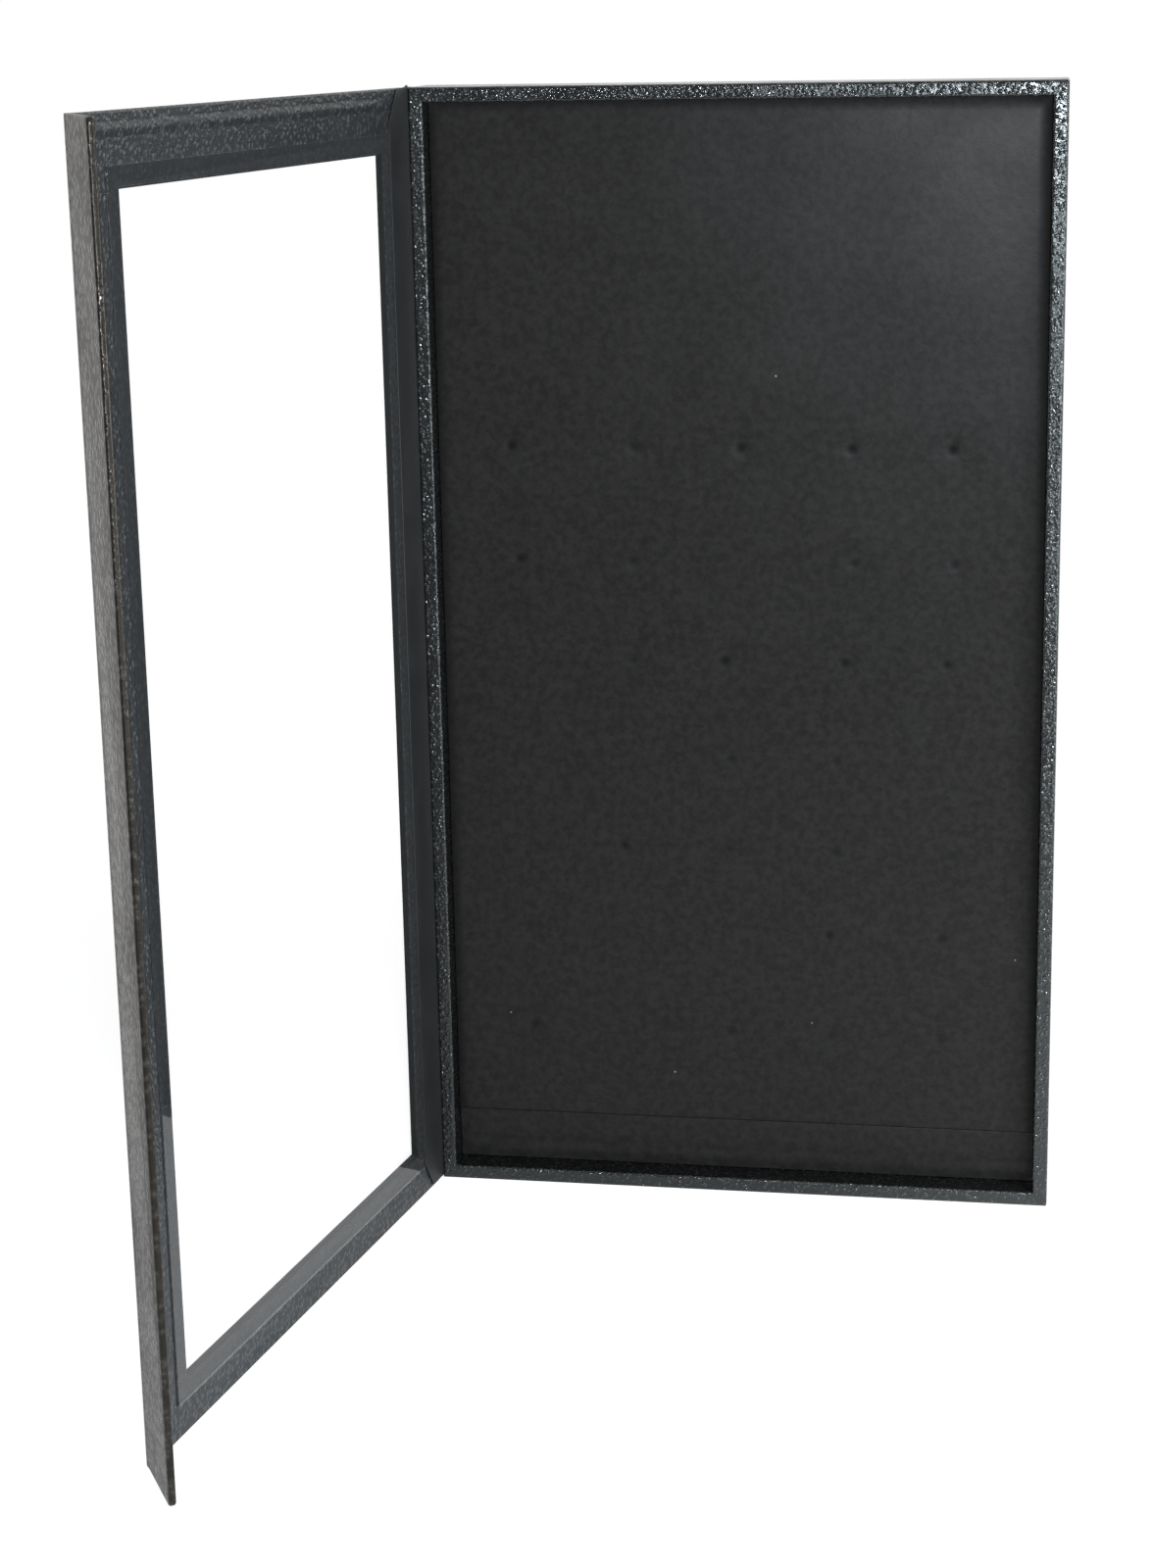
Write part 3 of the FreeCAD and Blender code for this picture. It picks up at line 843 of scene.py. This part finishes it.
def dress_case():
    """Every piece of the case in its own finish."""
    for order, side in enumerate(("top", "bottom", "hinge_side", "free_side")):
        shift = [order * way for way in WALL_SHIFT]
        dress(leatherette("leatherette " + side, shift), "wrap_" + side)
    dress(leatherette("leatherette spine", SHIFTS["spine"]), "spine_cover")
    cover = leatherette("leatherette door", SHIFTS["door"], window=True, **LIT_DOOR_GRAIN)
    dress(cover, "door_wrap")
    dress(leatherette("leatherette lining", SHIFTS["lining"], **LIT_DOOR_GRAIN), "door_liner", "flap_liner")
    liner_edge(cover)
    dress(leatherette("leatherette back", SHIFTS["back"]), "back_cover")
    dress(clear_sheet("clear sheet"), "window_pane")
    dress(leatherette("leatherette under tape", SHIFTS["under tape"], **TAPED_GRAIN), "pane_tape")
    dress(paper_board("grey board", BOARD_TONE, BOARD_WARMTH), "back_board", "rail_top", "rail_bottom",
          "rail_hinge_side", "rail_free_side", "door_board", "flap_board")
    dress(paper_board("black card", CARD_TONE), "pad_card")
    dress(bare_metal("keeper steel", STEEL_TONE, STEEL_DULL), "keeper_plates")
    dress(bare_metal("magnet plating", MAGNET_TONE, MAGNET_DULL), "flap_magnets")
    foam = foam_nap("foam nap")
    pad_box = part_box("foam_pad")
    strip_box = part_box("pad_strip")
    pad = padded_block("foam_cushion", pad_box, pad_sink(pad_box), foam, press_and_shade=pad_press_and_shade(pad_box))
    strip = padded_block("filler_strip", strip_box, strip_sink(strip_box), foam)
    for piece, node in ((pad, "foam_pad"), (strip, "pad_strip")):
        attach(piece, "tray")
        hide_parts(node)
    hinge_cloth(binding_cloth("binding cloth"))
    flap_cover(leatherette("leatherette flap", SHIFTS["flap"], **FLAP_GRAIN))


# Stage

def seen_directly(tree):
    """One for rays from the camera, mirrors and clear sheets, zero for the light that falls on things."""
    path = place(tree, "ShaderNodeLightPath").outputs
    shiny = reckon(tree, "ADD", path["Is Glossy Ray"], path["Is Transmission Ray"])
    return reckon(tree, "ADD", path["Is Camera Ray"], shiny, clamp=True)


def studio_world():
    """White all round to the eye, and an even soft light on the case."""
    world = bpy.data.worlds.new("studio")
    world.use_nodes = True
    bpy.context.scene.world = world
    tree = world.node_tree
    soft = tree.nodes["Background"]
    soft.inputs["Color"].default_value = grey(1.0)
    soft.inputs["Strength"].default_value = AMBIENT
    way = place(tree, "ShaderNodeTexCoord").outputs["Generated"]
    depth = place(tree, "ShaderNodeSeparateXYZ", {"Vector": way}).outputs["Y"]
    room = ramp(tree, depth, ROOM_DIM_FROM, ROOM_DIM_TO, ROOM_BEHIND_CAMERA, 1.0)
    looked_at = place(tree, "ShaderNodeLightPath").outputs["Is Camera Ray"]
    level = reckon(tree, "MAXIMUM", looked_at, room)
    white = place(tree, "ShaderNodeBackground", {"Color": grey(1.0), "Strength": level})
    mixed = place(tree, "ShaderNodeMixShader",
                  {0: seen_directly(tree), 1: soft.outputs[0], 2: white.outputs[0]})
    tree.links.new(mixed.outputs[0], tree.nodes["World Output"].inputs["Surface"])


def pale_floor():
    """A pale floor that keeps the case's shadow near it and runs out to white."""
    mesh = bpy.data.meshes.new("floor")
    side = FLOOR_REACH
    corners = [(-side, -side, 0), (side, -side, 0), (side, side, 0), (-side, side, 0)]
    mesh.from_pydata(corners, [], [(0, 1, 2, 3)])
    floor = bpy.data.objects.new("floor", mesh)
    bpy.context.scene.collection.objects.link(floor)
    material = bpy.data.materials.new("pale floor")
    material.use_nodes = True
    tree = material.node_tree
    tree.nodes.remove(tree.nodes["Principled BSDF"])
    spot = place(tree, "ShaderNodeTexCoord").outputs["Object"]
    away = place(tree, "ShaderNodeVectorMath", {0: spot}, operation="LENGTH").outputs["Value"]
    far = ramp(tree, away, SHADOW_NEAR, SHADOW_FAR)
    seen = seen_directly(tree)
    matt = place(tree, "ShaderNodeBsdfDiffuse", {"Color": grey(FLOOR_TONE)}).outputs[0]
    looked_at = place(tree, "ShaderNodeLightPath").outputs["Is Camera Ray"]
    sideways = place(tree, "ShaderNodeSeparateXYZ", {"Vector": spot}).outputs["X"]
    # Painted reflection: in reflections the floor near the case glows less on the hinge side than on the free
    # side, brightening the case's lower walls and window margin towards the free side
    sheen = ramp(tree, sideways, 0.0, -tray_left, FLOOR_SHEEN_HINGE_SIDE, FLOOR_SHEEN_FREE_SIDE)
    glow_level = ramp(tree, looked_at, 0.0, 1.0, sheen, FLOOR_GLOW)
    glow_seen = reckon(tree, "MULTIPLY", seen, glow_level)
    glow = place(tree, "ShaderNodeEmission", {"Strength": glow_seen}).outputs[0]
    near = place(tree, "ShaderNodeAddShader", {0: matt, 1: glow}).outputs[0]
    depth = place(tree, "ShaderNodeSeparateXYZ", {"Vector": spot}).outputs["Y"]
    room = ramp(tree, depth, FRONT_FAR, FRONT_NEAR, ROOM_BEHIND_CAMERA, 1.0)
    level = reckon(tree, "MAXIMUM", looked_at, room)
    white = place(tree, "ShaderNodeEmission", {"Strength": level}).outputs[0]
    mixed = place(tree, "ShaderNodeMixShader", {0: reckon(tree, "MULTIPLY", far, seen), 1: near, 2: white})
    tree.links.new(mixed.outputs[0], tree.nodes["Material Output"].inputs["Surface"])
    mesh.materials.append(material)


def lamp(name, spot, side, power, tint):
    """A square lamp turned towards the case."""
    data = bpy.data.lights.new(name, "AREA")
    data.shape = "SQUARE"
    data.size = side
    data.energy = power
    data.color = tint
    holder = bpy.data.objects.new(name, data)
    holder.location = spot
    holder.rotation_mode = "QUATERNION"
    holder.rotation_quaternion = (CASE_MIDDLE - spot).to_track_quat("-Z", "Y")
    bpy.context.scene.collection.objects.link(holder)


def camera():
    """The photograph's viewpoint: its place, turn, focal length and framing."""
    pitch, yaw, roll = (math.radians(angle) for angle in CAMERA_TURN)
    level = Matrix(((1, 0, 0), (0, 0, -1), (0, 1, 0)))
    spin = Matrix.Rotation(roll, 3, "Z") @ Matrix.Rotation(pitch, 3, "X") @ Matrix.Rotation(yaw, 3, "Y")
    right, down, ahead = spin @ level
    data = bpy.data.cameras.new("camera")
    data.sensor_width = SENSOR
    data.lens = FOCAL_PIXELS / IMAGE_SIZE.y * SENSOR
    data.shift_x = (IMAGE_SIZE.x / 2 - PRINCIPAL_PIXEL.x) / IMAGE_SIZE.y
    data.shift_y = (PRINCIPAL_PIXEL.y - IMAGE_SIZE.y / 2) / IMAGE_SIZE.y
    data.clip_start = CLIP_START
    eye = bpy.data.objects.new("camera", data)
    turn = Matrix((right, -down, -ahead)).transposed().to_4x4()
    eye.matrix_world = Matrix.Translation(CAMERA_PLACE) @ turn
    bpy.context.scene.collection.objects.link(eye)
    bpy.context.scene.camera = eye


dress_case()
studio_world()
pale_floor()
lamp("flash", FLASH_PLACE, FLASH_SIDE, FLASH_POWER, FLASH_TINT)
lamp("side lamp", SIDE_LAMP_PLACE, SIDE_LAMP_SIDE, SIDE_LAMP_POWER, LAMP_TINT)
lamp("low lamp", LOW_LAMP_PLACE, LOW_LAMP_SIDE, LOW_LAMP_POWER, LAMP_TINT)
camera()
bpy.context.scene.view_settings.view_transform = "Standard"
